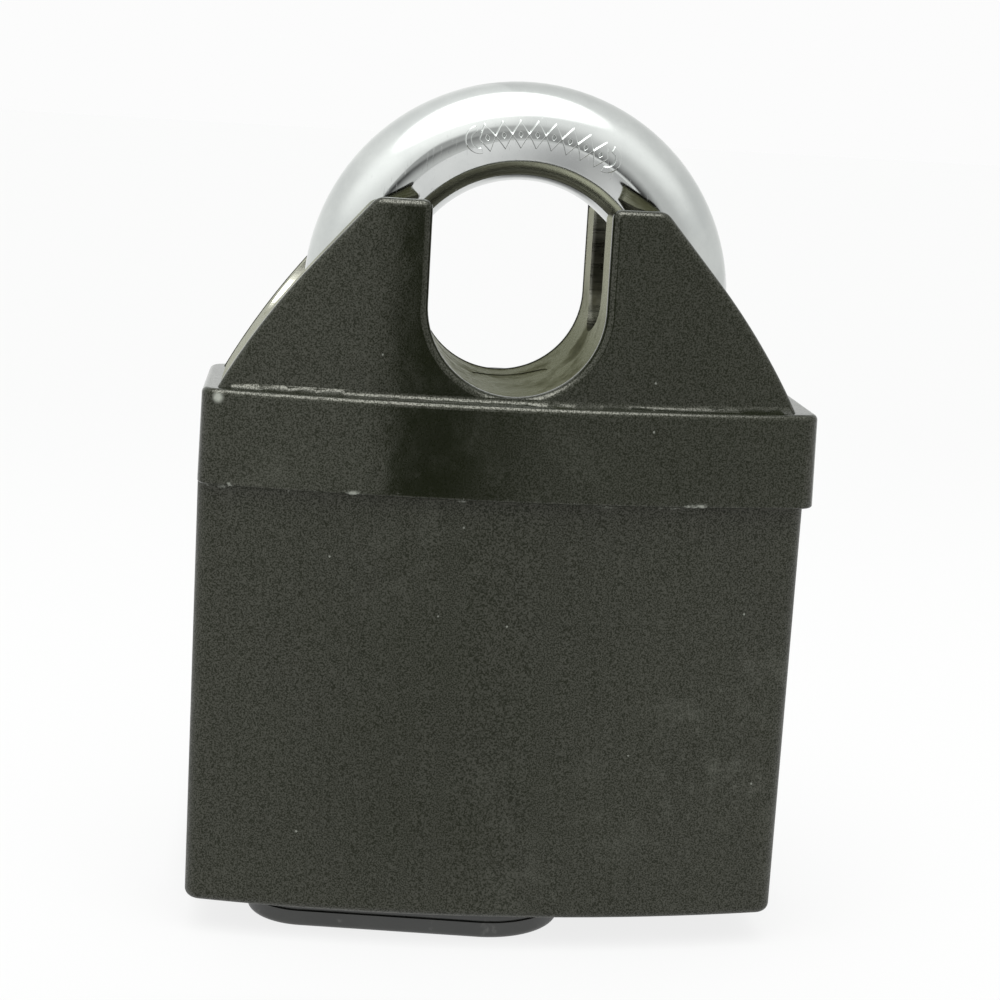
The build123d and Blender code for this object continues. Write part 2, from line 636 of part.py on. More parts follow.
with BuildPart() as cylinder_housing:
    with BuildSketch(Plane.XY.offset(HOUSING_Z)):
        Circle(CYL_R)
    extrude(amount=HOUSING_TOP - HOUSING_Z)
    with BuildSketch(Plane.XY.offset(HOUSING_Z)):
        Circle(MOUTH_R)
    extrude(amount=HOUSING_FACE, mode=Mode.SUBTRACT)
    with BuildSketch(Plane.XY.offset(HOUSING_Z + HOUSING_FACE)):
        Circle(DRUM_R + DRUM_FIT)
        # Groove that the sidebar drops into when the key is turned back.
        with Locations((0, DRUM_R)):
            Rectangle(SIDEBAR_W + 2 * FIT, 2 * GROOVE_D)
    extrude(amount=HOUSING_TOP, mode=Mode.SUBTRACT)
    with BuildSketch(Plane.XY.offset(DRUM_TOP + FIT)):
        Circle(DRUM_R + CLIP_GRIP)
    extrude(amount=CLIP_T + FIT, mode=Mode.SUBTRACT)
    # Half-round grooves for the lock pins.
    with BuildSketch(Plane.XZ):
        with Locations((-CHAMBER_R, LOCK_PIN_Z), (CHAMBER_R, LOCK_PIN_Z)):
            Circle(LOCK_PIN_R + FIT / 2)
    extrude(amount=CYL_R, both=True, mode=Mode.SUBTRACT)
cylinder_housing.part.label = "cylinder_housing"
export_step(cylinder_housing.part, "parts/cylinder_housing.step")

with BuildPart() as drum_circlip:
    with BuildSketch(Plane.XY.offset(DRUM_TOP + FIT + FIT / 2)):
        Circle(DRUM_R + CLIP_GRIP - FIT / 2)
        Circle(CLIP_BORE_R, mode=Mode.SUBTRACT)
        with Locations((0, -DRUM_R)):
            Rectangle(CLIP_BORE_R, DRUM_R, mode=Mode.SUBTRACT)
    extrude(amount=CLIP_T - FIT)
drum_circlip.part.label = "drum_circlip"
export_step(drum_circlip.part, "parts/drum_circlip.step")

with BuildPart() as disc_drum:
    with BuildSketch(Plane.XY.offset(DRUM_Z)):
        Circle(DRUM_R)
    extrude(amount=DRUM_TOP - DRUM_Z)
    with BuildSketch(Plane.XY.offset(DRUM_Z)):
        add(keyhole())
    extrude(amount=HOUSING_FACE, mode=Mode.SUBTRACT)
    # Bore for the stack, with the long window through which the discs are loaded.
    with BuildSketch(Plane.XY.offset(DRUM_Z + HOUSING_FACE)):
        Circle(DRUM_BORE)
        with Locations((0, -DRUM_R)):
            Rectangle(2 * DRUM_BORE, 2 * DRUM_R)
        with Locations((-DRUM_R, 0)):
            Rectangle(2 * SIDEBAR_D, SIDEBAR_W + FIT)
    extrude(amount=STACK_TOP - DRUM_Z - HOUSING_FACE, mode=Mode.SUBTRACT)
    with BuildSketch(Plane.XY.offset(DRUM_TOP)):
        Rectangle(TONGUE_L + LEG_GAP, TONGUE_W + LEG_GAP)
    extrude(amount=-TONGUE_H, mode=Mode.SUBTRACT)
disc_drum.part.label = "disc_drum"
export_step(disc_drum.part, "parts/disc_drum.step")

with BuildPart() as entry_disc:
    with BuildSketch(Plane.XY.offset(ENTRY_Z)):
        Circle(DISC_R)
        add(keyhole(), mode=Mode.SUBTRACT)
    extrude(amount=HOUSING_FACE - DISC_PLAY)
entry_disc.part.label = "entry_disc"
export_step(entry_disc.part, "parts/entry_disc.step")

with BuildPart() as code_discs:
    for index in range(DISC_COUNT):
        with BuildSketch(Plane.XY.offset(STACK_Z + index * DISC_PITCH)):
            Circle(DISC_R)
            add(keyhole(), mode=Mode.SUBTRACT)
            # True gate under the sidebar and a shallow false gate, at a different place on each disc.
            with Locations((-DISC_R, 0)):
                Rectangle(2 * GATE_D, SIDEBAR_W + 2 * FIT, mode=Mode.SUBTRACT)
            with PolarLocations(DISC_R, 1, FIRST_GATE + index % CODES * GATE_STEP):
                Rectangle(GATE_D, SIDEBAR_W, mode=Mode.SUBTRACT)
        extrude(amount=DISC_T)
code_discs.part.label = "code_discs"
export_step(code_discs.part, "parts/code_discs.step")

with BuildPart() as disc_spacers:
    for index in range(DISC_COUNT - 1):
        with BuildSketch(Plane.XY.offset(STACK_Z + index * DISC_PITCH + DISC_T + DISC_PLAY)):
            Circle(DISC_R)
            Circle(KEYWAY_L / 2 + LEG_GAP, mode=Mode.SUBTRACT)
            with Locations((-DISC_R, 0)):
                Rectangle(2 * GATE_D, SIDEBAR_W + 2 * FIT, mode=Mode.SUBTRACT)
        extrude(amount=SPACER_T)
disc_spacers.part.label = "disc_spacers"
export_step(disc_spacers.part, "parts/disc_spacers.step")

with BuildPart() as sidebar:
    with BuildSketch(Plane.XY.offset(STACK_Z)):
        with Locations((-DRUM_R + FIT, 0)):
            Rectangle(SIDEBAR_D, SIDEBAR_W, align=(Align.MIN, Align.CENTER))
    extrude(amount=STACK_TOP - STACK_Z - 2 * FIT)
    fillet(sidebar.edges().filter_by(Axis.Z), radius=SIDEBAR_ROUND)
sidebar.part.label = "sidebar"
export_step(sidebar.part, "parts/sidebar.step")
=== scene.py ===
"""Looks of the closed-shackle padlock: camera, studio, materials and the shackle's raised mark.

Metres, in the CAD model's frame: +Z up, -Y towards the front, the floor at z = 0.
"""

from math import cos, hypot, pi, radians, sin

import bpy
from mathutils import Matrix, Vector


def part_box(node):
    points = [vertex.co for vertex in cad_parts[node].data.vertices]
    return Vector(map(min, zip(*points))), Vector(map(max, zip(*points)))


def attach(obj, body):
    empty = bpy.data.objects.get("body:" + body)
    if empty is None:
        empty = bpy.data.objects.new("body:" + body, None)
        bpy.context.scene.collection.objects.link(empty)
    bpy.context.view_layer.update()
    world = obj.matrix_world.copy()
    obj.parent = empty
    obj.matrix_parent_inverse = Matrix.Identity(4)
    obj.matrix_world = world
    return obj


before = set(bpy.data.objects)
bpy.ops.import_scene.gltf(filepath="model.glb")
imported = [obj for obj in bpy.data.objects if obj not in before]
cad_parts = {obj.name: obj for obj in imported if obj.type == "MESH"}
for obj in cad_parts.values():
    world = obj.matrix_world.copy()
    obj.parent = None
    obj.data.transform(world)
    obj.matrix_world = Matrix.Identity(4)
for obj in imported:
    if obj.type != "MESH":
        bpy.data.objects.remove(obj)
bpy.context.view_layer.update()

MM = 0.001

# ---------------------------------------------------------------- sizes
# Read from the frame, apart from NOTCH_X, the middle of the notch between the horns.
COVER_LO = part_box("top_cover")[0]
SLEEVE_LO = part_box("lower_sleeve")[0]
SHACKLE_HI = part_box("shackle")[1]
LIP_Z = COVER_LO.z
ROD_R = SHACKLE_HI.y
BOW_R = SHACKLE_HI.x - ROD_R
BOW_Z = SHACKLE_HI.z - ROD_R - BOW_R
NOTCH_X = -1.0 * MM

# ---------------------------------------------------------------- camera
CAMERA_AT = (-0.028014, -0.300909, 0.120166)
CAMERA_LENS = 78.355
CAMERA_YAW = 0.0909
CAMERA_PITCH = 0.1925
CAMERA_ROLL = 0.0589


def make_camera():
    """Camera in front, a little to the left of the lock and above it, looking slightly down."""
    data = bpy.data.cameras.new("view")
    data.lens = CAMERA_LENS
    data.clip_start = 0.01
    data.clip_end = 100.0
    camera = bpy.data.objects.new("view", data)
    turn = Matrix.Rotation(-CAMERA_YAW, 4, "Z")
    tilt = Matrix.Rotation(pi / 2 - CAMERA_PITCH, 4, "X")
    roll = Matrix.Rotation(CAMERA_ROLL, 4, "Z")
    camera.matrix_world = Matrix.Translation(CAMERA_AT) @ turn @ tilt @ roll
    bpy.context.scene.collection.objects.link(camera)
    bpy.context.scene.camera = camera


# ---------------------------------------------------------------- node graphs
class Graph:
    """Adds nodes to one node tree and wires them."""

    def __init__(self, tree):
        self.tree = tree
        self.tree.nodes.clear()

    def add(self, kind, inputs=None, **settings):
        """A new node with its settings, its inputs given as values or as sockets to link."""
        node = self.tree.nodes.new(kind)
        for name, value in settings.items():
            setattr(node, name, value)
        for key, value in (inputs or {}).items():
            self.put(node.inputs[key], value)
        return node

    def put(self, socket, value):
        """Links a socket to an output, or sets its value."""
        if isinstance(value, bpy.types.NodeSocket):
            self.tree.links.new(value, socket)
        else:
            socket.default_value = value

    def math(self, operation, a, b=0.0, clamp=False):
        """One sum on one or two values."""
        node = self.add("ShaderNodeMath", {0: a, 1: b}, operation=operation, use_clamp=clamp)
        return node.outputs[0]

    def times(self, first, *others):
        """The product of two or more values."""
        product = first
        for value in others:
            product = self.math("MULTIPLY", product, value)
        return product

    def without(self, share):
        """What is left of 1 when share is taken away."""
        return self.math("SUBTRACT", 1.0, share)

    def axes(self):
        """The piece's own x, y and z in metres."""
        return self.add("ShaderNodeSeparateXYZ", {0: self.place()}).outputs

    def step(self, value, start, end, low=0.0, high=1.0):
        """Goes smoothly from low to high as value goes from start to end."""
        inputs = {"Value": value, "From Min": start, "From Max": end, "To Min": low, "To Max": high}
        return self.add("ShaderNodeMapRange", inputs, interpolation_type="SMOOTHSTEP").outputs[0]

    def mix(self, share, a, b):
        """Colour a at share 0, colour b at share 1."""
        node = self.add("ShaderNodeMix", data_type="RGBA")
        self.put(node.inputs[0], share)
        self.put(node.inputs[6], a)
        self.put(node.inputs[7], b)
        return node.outputs[2]

    def place(self, stretch=(1.0, 1.0, 1.0), turn=(0.0, 0.0, 0.0)):
        """The piece's own coordinates in metres, stretched and then turned."""
        coords = self.add("ShaderNodeTexCoord").outputs["Object"]
        inputs = {"Vector": coords, "Scale": stretch, "Rotation": turn}
        return self.add("ShaderNodeMapping", inputs).outputs[0]

    def noise(self, scale, detail=2.0, rough=0.5, where=None):
        """Cloudy noise from 0 to 1, scale being its waves to the metre."""
        inputs = {"Scale": scale, "Detail": detail, "Roughness": rough}
        inputs["Vector"] = where or self.place()
        return self.add("ShaderNodeTexNoise", inputs).outputs[0]

    def cells(self, scale):
        """Distance to the nearest of scattered points, and a random colour for each."""
        inputs = {"Scale": scale, "Vector": self.place()}
        node = self.add("ShaderNodeTexVoronoi", inputs)
        return node.outputs["Distance"], node.outputs["Color"]

    def bump(self, height, depth, under=None):
        """A bump whose height of 1 stands for depth, in metres."""
        inputs = {"Height": height, "Distance": depth, "Strength": 1.0}
        if under is not None:
            inputs["Normal"] = under
        return self.add("ShaderNodeBump", inputs).outputs[0]


def surface(name, **fixed):
    """A new material with its graph and its shader, whose fixed sockets are set directly."""
    material = bpy.data.materials.new(name)
    material.use_nodes = True
    graph = Graph(material.node_tree)
    shader = graph.add("ShaderNodeBsdfPrincipled")
    for key, value in fixed.items():
        shader.inputs[key.replace("_", " ")].default_value = value
    out = graph.add("ShaderNodeOutputMaterial", {"Surface": shader.outputs[0]})
    out.target = "ALL"
    return material, graph, shader


def streaks(graph, along, across, turn, low, high):
    """Fine upright scratches: 1 on a scratch, 0 off it. The turn only picks another part of the noise."""
    where = graph.place(stretch=(across, across, along), turn=turn)
    return graph.step(graph.noise(1.0, 1.0, 0.5, where), low, high)


def near(graph, centre, reach):
    """1 at a point of the lock, falling to 0 at reach from it."""
    coords = graph.add("ShaderNodeTexCoord").outputs["Object"]
    gap = graph.add("ShaderNodeVectorMath", {0: coords, 1: centre}, operation="DISTANCE")
    return graph.step(gap.outputs["Value"], 0.0, reach, 1.0, 0.0)


# ---------------------------------------------------------------- jacket
JACKET = (0.0064, 0.0078, 0.0036, 1.0)
JACKET_DUST = (0.045, 0.047, 0.038, 1.0)
JACKET_PALE = (0.26, 0.27, 0.24, 1.0)
JACKET_DEEP = tuple(0.86 * c for c in JACKET[:3]) + (1.0,)
JACKET_TINT = (1.0, 0.99, 0.88, 1.0)
CHIP_REACH = (0.15 * MM, 0.75 * MM)

# Rubbed patches: middle, reach, strength. Nicks: middle, reach.
CAP_SCUFFS = [
    ((0.0, COVER_LO.y, 0.071), 0.030, 0.20),
    ((-0.030, COVER_LO.y, 0.070), 0.022, 0.35),
]
CAP_NICKS = [((-0.0401, -0.0130, 0.0761), 0.0010)]
SLEEVE_SCUFFS = [
    ((0.034, SLEEVE_LO.y, 0.030), 0.026, 1.0),
    ((-0.012, SLEEVE_LO.y, 0.058), 0.016, 0.6),
    ((0.010, SLEEVE_LO.y, 0.012), 0.030, 0.4),
]


def jacket(name, grain_depth, low_rough, high_rough, scuffs, nicks=()):
    """Dark olive moulded plastic: fine grain, rubbed patches, scratches, nicks, and chips along the lip."""
    material, graph, shader = surface(name, IOR=1.5, Specular_Tint=JACKET_TINT)
    height = graph.axes()[2]

    mottle = graph.noise(70.0, 4.0, 0.6)
    grain = graph.noise(4800.0, 1.0, 0.5)
    cloud = graph.step(graph.noise(160.0, 5.0, 0.65), 0.50, 0.72)
    rub = graph.step(graph.noise(420.0, 5.0, 0.7), 0.56, 0.74)
    rubbed = 0.0
    for centre, reach, strength in scuffs:
        patch = graph.times(near(graph, centre, reach), strength)
        rubbed = graph.math("MAXIMUM", rubbed, patch)
    dust = graph.times(rubbed, graph.math("ADD", cloud, rub, clamp=True))

    long_lines = streaks(graph, 45.0, 2400.0, (0.0, 0.09, 0.0), 0.74, 0.80)
    short_lines = streaks(graph, 90.0, 1700.0, (0.0, 0.62, 0.0), 0.75, 0.81)
    lines = graph.math("MAXIMUM", long_lines, short_lines)
    lines = graph.times(lines, graph.step(graph.noise(75.0, 2.0), 0.48, 0.66))

    spot, tint = graph.cells(330.0)
    lot = graph.add("ShaderNodeSeparateColor", {0: tint}).outputs[0]
    rare = graph.math("GREATER_THAN", lot, 0.80)
    speck = graph.times(graph.step(spot, 0.03, 0.075, 1.0, 0.0), rare)

    lip_gap = graph.math("ABSOLUTE", graph.math("SUBTRACT", height, LIP_Z))
    lip = graph.step(lip_gap, *CHIP_REACH, 1.0, 0.0)
    chip = graph.times(lip, graph.step(graph.noise(240.0, 4.0, 0.7), 0.56, 0.66))
    for centre, reach in nicks:
        nick = graph.math("MULTIPLY", near(graph, centre, reach), 1.3, clamp=True)
        chip = graph.math("MAXIMUM", chip, nick)

    colour = graph.mix(graph.step(mottle, 0.3, 0.7), JACKET, JACKET_DEEP)
    colour = graph.mix(graph.times(dust, 0.75), colour, JACKET_DUST)
    colour = graph.mix(graph.times(lines, 0.35), colour, JACKET_DUST)
    pale = graph.math("MAXIMUM", graph.times(speck, 0.55), chip)
    colour = graph.mix(pale, colour, JACKET_PALE)
    graph.put(shader.inputs["Base Color"], colour)
    graph.put(shader.inputs["Specular IOR Level"], graph.step(grain, 0.32, 0.68, 0.20, 0.80))

    rough = graph.step(mottle, 0.30, 0.70, low_rough, high_rough)
    rough = graph.math("ADD", rough, graph.times(dust, 0.18))
    rough = graph.math("ADD", rough, graph.times(pale, 0.3), clamp=True)
    graph.put(shader.inputs["Roughness"], rough)

    soft = graph.bump(graph.noise(190.0, 2.0), 0.05 * MM)
    fine = graph.bump(grain, grain_depth, soft)
    graph.put(shader.inputs["Normal"], graph.bump(graph.times(lines, -1.0), 0.01 * MM, fine))
    return material


# ---------------------------------------------------------------- metals and rubber
CHROME_CLEAR = (0.60, 0.615, 0.605, 1.0)
CHROME_DULL = (0.53, 0.545, 0.54, 1.0)
CHROME_LINE = (0.42, 0.42, 0.41, 1.0)


def chrome():
    """Bright plated steel with a faint orange-peel, hairline scratches and dulled spots."""
    material, graph, shader = surface("chrome", Metallic=1.0)
    smear = graph.noise(130.0, 4.0, 0.6)
    thin = streaks(graph, 120.0, 5200.0, (0.3, 0.7, 0.0), 0.69, 0.76)
    wide = streaks(graph, 120.0, 4600.0, (0.2, -0.9, 0.3), 0.70, 0.77)
    lines = graph.math("MAXIMUM", thin, wide)
    clean = graph.mix(graph.step(smear, 0.35, 0.7), CHROME_CLEAR, CHROME_DULL)
    graph.put(shader.inputs["Base Color"], graph.mix(graph.times(lines, 0.18), clean, CHROME_LINE))
    rough = graph.step(smear, 0.35, 0.70, 0.05, 0.11)
    graph.put(shader.inputs["Roughness"], graph.math("ADD", rough, graph.times(lines, 0.08)))
    peel = graph.bump(graph.noise(260.0, 2.0, 0.5), 0.012 * MM)
    graph.put(shader.inputs["Normal"], graph.bump(graph.times(lines, -1.0), 0.002 * MM, peel))
    return material


STEEL_EDGE_TINT = (0.42, 0.43, 0.33, 1.0)
# STEEL_DARK and STEEL_LIGHT are kept very dark as painted shade for the deep notch and the bores, which the
# bow's underside mirrors.
STEEL_DARK = (0.070, 0.070, 0.052, 1.0)
STEEL_LIGHT = (0.125, 0.124, 0.096, 1.0)
STEEL_GROUND = (0.40, 0.395, 0.34, 1.0)
STAIN_BROWN = (0.052, 0.050, 0.034, 1.0)
STAIN_BLACK = (0.022, 0.021, 0.013, 1.0)
GROUND_FROM_Z = (82.0 * MM, 94.0 * MM)
BORE_IN = (12.1 * MM, 12.6 * MM)
BORE_OUT = (19.0 * MM, 21.0 * MM)
FLANK_IN = (21.0 * MM, 23.0 * MM)


def worn_steel():
    """Hardened steel brushed from side to side, stained olive and brown low in the notch and in the bores,
    and kept dark there as painted shade.

    The horns' upper inner walls and the outer flanks are ground brighter.
    """
    material, graph, shader = surface("worn_steel", Metallic=0.9, IOR=1.8, Specular_Tint=STEEL_EDGE_TINT)
    stain = graph.noise(150.0, 5.0, 0.65)
    blotch = graph.noise(520.0, 4.0, 0.7)
    brush_place = graph.place(stretch=(160.0, 3200.0, 3200.0), turn=(0.0, 0.6, 0.2))
    brush = graph.noise(1.0, 2.0, 0.6, brush_place)

    across, _, height = graph.axes()
    aside = graph.math("ABSOLUTE", graph.math("SUBTRACT", across, NOTCH_X))
    # Painted shade: the bores are kept out of the bright ground steel so that they stay dark, as their
    # depth would make them.
    painted_shade_bore = graph.times(graph.step(aside, *BORE_IN), graph.step(aside, *BORE_OUT, 1.0, 0.0))
    upper = graph.times(graph.step(height, *GROUND_FROM_Z), graph.without(painted_shade_bore))
    ground = graph.math("MAXIMUM", upper, graph.step(aside, *FLANK_IN))

    # Off the ground parts the steel stays dark, partly from real stains and partly as painted shade for the
    # depth of the notch and the bores.
    clean = graph.mix(graph.step(brush, 0.3, 0.7), STEEL_DARK, STEEL_LIGHT)
    clean = graph.mix(ground, clean, STEEL_GROUND)
    dirty = graph.mix(graph.step(blotch, 0.45, 0.7), STAIN_BROWN, STAIN_BLACK)
    stained = graph.times(graph.step(stain, 0.42, 0.66), graph.without(ground))
    graph.put(shader.inputs["Base Color"], graph.mix(stained, clean, dirty))

    rough = graph.step(brush, 0.3, 0.7, 0.20, 0.34)
    rough = graph.math("ADD", rough, graph.step(stain, 0.45, 0.7, 0.0, 0.2))
    graph.put(shader.inputs["Roughness"], rough)
    graph.put(shader.inputs["Normal"], graph.bump(brush, 0.02 * MM, graph.bump(blotch, 0.03 * MM)))
    return material


def black_zinc():
    """Black-finished die casting, semi-matt, rubbed grey in scattered patches."""
    material, graph, shader = surface("black_zinc", IOR=1.6)
    cast = graph.noise(900.0, 3.0, 0.6)
    patch = graph.noise(120.0, 5.0, 0.6)
    worn = graph.step(graph.noise(300.0, 5.0, 0.7), 0.60, 0.78)
    black = graph.mix(graph.step(patch, 0.3, 0.7), (0.022, 0.023, 0.021, 1), (0.034, 0.035, 0.032, 1))
    colour = graph.mix(graph.times(worn, 0.5), black, (0.16, 0.16, 0.15, 1))
    graph.put(shader.inputs["Base Color"], colour)
    graph.put(shader.inputs["Roughness"], graph.step(patch, 0.3, 0.7, 0.34, 0.50))
    graph.put(shader.inputs["Normal"], graph.bump(cast, 0.02 * MM))
    return material


def turned(name, bright, dull, low_rough, high_rough):
    """Machined metal with fine turning rings round the key cylinder's upright axis."""
    material, graph, shader = surface(name, Metallic=1.0)
    where = graph.place(stretch=(40.0, 40.0, 5200.0))
    ring = graph.noise(1.0, 2.0, 0.5, where)
    tarnish = graph.noise(260.0, 5.0, 0.65)
    colour = graph.mix(graph.step(tarnish, 0.40, 0.72), bright, dull)
    colour = graph.mix(graph.times(graph.step(ring, 0.45, 0.7), 0.3), colour, dull)
    graph.put(shader.inputs["Base Color"], colour)
    graph.put(shader.inputs["Roughness"], graph.step(tarnish, 0.4, 0.7, low_rough, high_rough))
    graph.put(shader.inputs["Normal"], graph.bump(ring, 0.008 * MM))
    return material


def polished_ball():
    """Hard bearing ball: mirror finish with a few faint contact marks."""
    material, graph, shader = surface("bearing_steel", Metallic=1.0)
    marks = graph.step(graph.noise(900.0, 4.0, 0.6), 0.58, 0.70)
    graph.put(shader.inputs["Base Color"], graph.mix(marks, (0.66, 0.66, 0.66, 1), (0.50, 0.50, 0.49, 1)))
    graph.put(shader.inputs["Roughness"], graph.math("ADD", 0.05, graph.times(marks, 0.2)))
    return material


def rubber():
    """Matt black seal rubber with a dusty bloom."""
    material, graph, shader = surface("seal_rubber_black", IOR=1.45, Roughness=0.8)
    bloom = graph.noise(600.0, 5.0, 0.7)
    colour = graph.mix(graph.step(bloom, 0.4, 0.75), (0.012, 0.012, 0.012, 1), (0.05, 0.05, 0.048, 1))
    graph.put(shader.inputs["Base Color"], colour)
    graph.put(shader.inputs["Normal"], graph.bump(graph.noise(3000.0, 2.0), 0.02 * MM))
    return material


def paint_nodes():
    """Gives every CAD node its material."""
    jackets = {
        "top_cover": jacket("jacket_cap", 0.004 * MM, 0.10, 0.15, CAP_SCUFFS, CAP_NICKS),
        "lower_sleeve": jacket("jacket_sleeve", 0.030 * MM, 0.36, 0.48, SLEEVE_SCUFFS),
    }
    pins = turned("ground_steel", (0.58, 0.58, 0.57, 1), (0.36, 0.35, 0.33, 1), 0.22, 0.38)
    brass = turned("turned_brass", (0.80, 0.58, 0.26, 1), (0.50, 0.34, 0.14, 1), 0.20, 0.36)
    finishes = {
        "hardened_steel": worn_steel(),
        "shackle_chrome": chrome(),
        "ball_steel": polished_ball(),
        "cover_black": black_zinc(),
        "pin_steel": pins,
        "cylinder_brass": brass,
        "seal_rubber": rubber(),
    }
    for name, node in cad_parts.items():
        slot_name = node.data.materials[0].name
        node.data.materials[0] = jackets.get(name) or finishes[slot_name]
    return finishes


# ---------------------------------------------------------------- raised mark on the shackle
# Angles along the bow, from its right foot: the mark's middle and half its length. MARK_FACE goes round
# the rod, from its outer side to the front.
MARK_MID = radians(84.7)
MARK_HALF = radians(26.5)
MARK_FACE = radians(92.0)
MARK_END_R = 1.45 * MM
MARK_RAISE = 0.40 * MM
MARK_SINK = 0.03 * MM
MARK_EDGE = 0.12 * MM
MARK_STEP = 0.06 * MM
LINE_HALF_W = 0.42 * MM
LOZENGE_COUNT = 8
LOZENGE_HALF_W = 0.70 * MM
LOZENGE_HALF_H = 1.10 * MM
FAR_AWAY = 1.0


def mark_height(along, across):
    """Share of the mark's full height at a spot of its flat layout, in metres from its middle."""
    straight = BOW_R * MARK_HALF - MARK_END_R
    end_line = FAR_AWAY
    if abs(along) >= straight:
        end_line = abs(hypot(abs(along) - straight, across) - MARK_END_R) - LINE_HALF_W
    pitch = 2 * straight / LOZENGE_COUNT
    nearest = (round(along / pitch - 0.5) + 0.5) * pitch
    lozenge = FAR_AWAY
    if abs(nearest) < straight:
        reach = abs(along - nearest) / LOZENGE_HALF_W + abs(across) / LOZENGE_HALF_H
        side_gap = LOZENGE_HALF_W * LOZENGE_HALF_H / hypot(LOZENGE_HALF_W, LOZENGE_HALF_H)
        lozenge = abs(reach - 1.0) * side_gap - LINE_HALF_W
    gap = min(end_line, lozenge)
    return min(max(0.5 - gap / MARK_EDGE, 0.0), 1.0)


def bow_point(around, face, lift):
    """A point on the shackle's bow: around the bow, round the rod, and above its surface."""
    out = Vector((cos(around), 0.0, sin(around)))
    radius = ROD_R + lift
    centre = Vector((0.0, 0.0, BOW_Z))
    return centre + out * (BOW_R + radius * cos(face)) + Vector((0.0, -radius * sin(face), 0.0))


def make_mark(finish):
    """Raised band of plain lozenges between two curved ends, rolled into the bow's front."""
    half_u = BOW_R * MARK_HALF + LINE_HALF_W * 2
    half_v = MARK_END_R + LINE_HALF_W * 2
    count_u = int(2 * half_u / MARK_STEP)
    count_v = int(2 * half_v / MARK_STEP)
    points = []
    heights = []
    for i in range(count_u + 1):
        along = -half_u + 2 * half_u * i / count_u
        for j in range(count_v + 1):
            across = -half_v + 2 * half_v * j / count_v
            share = mark_height(along, across)
            smooth = share * share * (3 - 2 * share)
            lift = -MARK_SINK + (MARK_RAISE + MARK_SINK) * smooth
            around = MARK_MID - along / BOW_R
            points.append(bow_point(around, MARK_FACE + across / ROD_R, lift))
            heights.append(share)
    faces = []
    for i in range(count_u):
        for j in range(count_v):
            corner = i * (count_v + 1) + j
            quad = (corner, corner + 1, corner + count_v + 2, corner + count_v + 1)
            if max(heights[k] for k in quad) > 0:
                faces.append(quad)
    used = sorted({k for quad in faces for k in quad})
    number = {k: n for n, k in enumerate(used)}
    mesh = bpy.data.meshes.new("shackle_mark")
    mesh.from_pydata([points[k] for k in used], [], [[number[k] for k in quad] for quad in faces])
    mesh.polygons.foreach_set("use_smooth", [True] * len(mesh.polygons))
    mesh.materials.append(finish)
    mark = bpy.data.objects.new("shackle_mark", mesh)
    bpy.context.scene.collection.objects.link(mark)
    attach(mark, "shackle")


# ---------------------------------------------------------------- studio floor
FLOOR_FRONT = -0.33
FLOOR_FAR = 4.0
FLOOR_COLOUR = (0.085, 0.085, 0.085, 1.0)
NEAR_GLOW = 0.86
FAR_GLOW = 0.815
GLOW_TURN = (-0.20, -0.04)
GLOW_FALL = 0.035
FALL_OVER = (0.0, 0.5)

# A painted shade lane: the floor's glow is dimmed in front of the lock, and the lock's front mirrors the
# darker strip.
LANE_X = -0.012
LANE_REACH = 0.05
LANE_BACK = (-0.06, -0.03)
LANE_DIM = 0.5

# A painted shadow just behind the lock: the floor's glow is dimmed there, and the underside of the bow
# mirrors it.
SHADE_FRONT = (0.0, 0.02)
SHADE_BACK = (0.07, 0.16)
SHADE_SIDE = (0.020, 0.048)
SHADE_DIM = 0.9


def make_floor():
    """Plain pale floor that glows like a light table and runs back to the horizon, dimmed by painted shade
    in front of the lock and by a painted shadow behind it.
    """
    corners = [(-FLOOR_FAR, FLOOR_FRONT, 0), (FLOOR_FAR, FLOOR_FRONT, 0),
               (FLOOR_FAR, FLOOR_FAR, 0), (-FLOOR_FAR, FLOOR_FAR, 0)]
    mesh = bpy.data.meshes.new("floor")
    mesh.from_pydata(corners, [], [(0, 1, 2, 3)])
    material, graph, shader = surface("studio_floor", Base_Color=FLOOR_COLOUR, Roughness=0.9,
                                      Specular_IOR_Level=0.0, Emission_Color=(1.0, 1.0, 1.0, 1.0))
    across, depth, _ = graph.axes()
    glow = graph.step(depth, *GLOW_TURN, NEAR_GLOW, FAR_GLOW)
    glow = graph.math("SUBTRACT", glow, graph.step(depth, *FALL_OVER, 0.0, GLOW_FALL))

    off_lane = graph.math("ABSOLUTE", graph.math("SUBTRACT", across, LANE_X))
    painted_shade_lane = graph.step(off_lane, 0.0, LANE_REACH, LANE_DIM, 0.0)
    painted_shade_lane = graph.times(painted_shade_lane, graph.step(depth, *LANE_BACK, 1.0, 0.0))

    side = graph.math("ABSOLUTE", across)
    shade = graph.times(graph.step(depth, *SHADE_FRONT), graph.step(depth, *SHADE_BACK, 1.0, 0.0))
    shade = graph.times(shade, graph.step(side, *SHADE_SIDE, SHADE_DIM, 0.0))
    glow = graph.times(glow, graph.without(painted_shade_lane), graph.without(shade))
    graph.put(shader.inputs["Emission Strength"], glow)
    mesh.materials.append(material)
    floor = bpy.data.objects.new("floor", mesh)
    bpy.context.scene.collection.objects.link(floor)


# ---------------------------------------------------------------- studio walls and light
# Turns are measured round the lock from the front, to the right; rises from the horizon, upwards.
WALL_TURN = (radians(-4.0), radians(8.0))
WALL_LEFT = 1.05
WALL_RIGHT = 0.76
WALL_SIDE_TURN = (radians(20.0), radians(50.0))
WALL_SIDE_GAIN = 0.14
WALL_UPPER_RISE = (radians(8.0), radians(30.0))
WALL_UPPER_GAIN = 0.28
FRONT_HALF = (0.1, -0.5)

KEY_TURN = radians(-15.0)
KEY_RISE = radians(70.0)
KEY_REACH = radians(16.0)
KEY_FADE = radians(38.0)
KEY_LIGHT = 5.0
HALO_FADE = radians(72.0)
HALO_LIGHT = 0.35

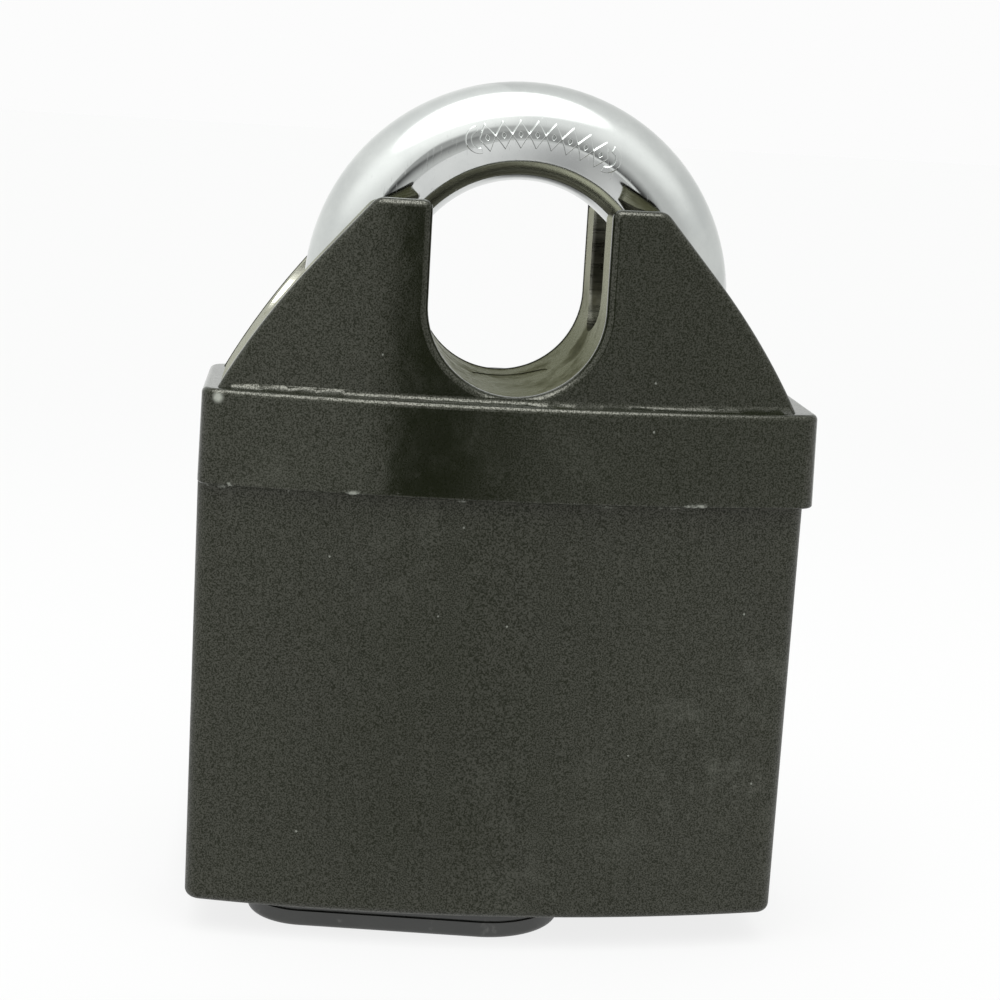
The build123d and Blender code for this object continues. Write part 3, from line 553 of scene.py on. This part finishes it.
COLUMN_LEFT = (radians(-8.0), radians(-7.0))
COLUMN_RIGHT = (radians(-3.5), radians(13.0))
COLUMN_FOOT = (radians(-16.0), radians(-13.0))
COLUMN_WAIST = (radians(-1.0), radians(5.0))
COLUMN_TOP = (radians(11.0), radians(18.0))
COLUMN_DIM = 0.99
COLUMN_UPPER = 0.55

LIGHT_COLOUR = (0.985, 1.0, 0.985, 1.0)
BACKDROP = (0.973, 0.973, 0.973, 1.0)


def make_world():
    """White studio: a broad ceiling light, paler walls, and one dark column behind the camera."""
    world = bpy.data.worlds.new("studio")
    world.use_nodes = True
    bpy.context.scene.world = world
    graph = Graph(world.node_tree)
    direction = graph.add("ShaderNodeTexCoord").outputs["Generated"]
    x, y, z = graph.add("ShaderNodeSeparateXYZ", {0: direction}).outputs
    rise = graph.math("ARCSINE", z)
    turn = graph.math("ARCTAN2", x, graph.times(y, -1.0))

    # Walls: a little dimmer to the right of the camera, brighter above it.
    walls = graph.step(turn, *WALL_TURN, WALL_LEFT, WALL_RIGHT)
    walls = graph.math("ADD", walls, graph.step(turn, *WALL_SIDE_TURN, 0.0, WALL_SIDE_GAIN))
    front = graph.step(y, *FRONT_HALF)
    upper = graph.times(front, graph.step(rise, *WALL_UPPER_RISE, 0.0, WALL_UPPER_GAIN))
    walls = graph.math("ADD", walls, upper)

    # Ceiling light: a wide soft disc, a little in front of the zenith.
    aim = (sin(KEY_TURN) * cos(KEY_RISE), -cos(KEY_TURN) * cos(KEY_RISE), sin(KEY_RISE))
    facing = graph.add("ShaderNodeVectorMath", {0: direction, 1: aim}, operation="DOT_PRODUCT")
    off = graph.math("ARCCOSINE", facing.outputs["Value"])
    key = graph.step(off, KEY_REACH, KEY_FADE, KEY_LIGHT, 0.0)
    halo = graph.step(off, KEY_REACH, HALO_FADE, HALO_LIGHT, 0.0)
    key = graph.math("ADD", key, halo)

    # Dark column: sharp on its left, fading to the right, weaker above the horizon.
    column = graph.times(
        graph.step(turn, *COLUMN_LEFT), graph.step(turn, *COLUMN_RIGHT, 1.0, 0.0),
        graph.step(rise, *COLUMN_FOOT), graph.step(rise, *COLUMN_TOP, 1.0, 0.0),
        graph.step(rise, *COLUMN_WAIST, COLUMN_DIM, COLUMN_DIM * COLUMN_UPPER))
    light = graph.times(graph.math("ADD", walls, key), graph.without(column))

    seen = graph.add("ShaderNodeLightPath").outputs["Is Camera Ray"]
    lit = graph.add("ShaderNodeBackground", {"Strength": light, "Color": LIGHT_COLOUR})
    plain = graph.add("ShaderNodeBackground", {"Strength": 1.0, "Color": BACKDROP})
    both = graph.add("ShaderNodeMixShader", {0: seen, 1: lit.outputs[0], 2: plain.outputs[0]})
    graph.add("ShaderNodeOutputWorld", {"Surface": both.outputs[0]})


make_camera()
make_floor()
make_world()
bpy.context.scene.view_settings.view_transform = "Standard"
finishes = paint_nodes()
make_mark(finishes["shackle_chrome"])
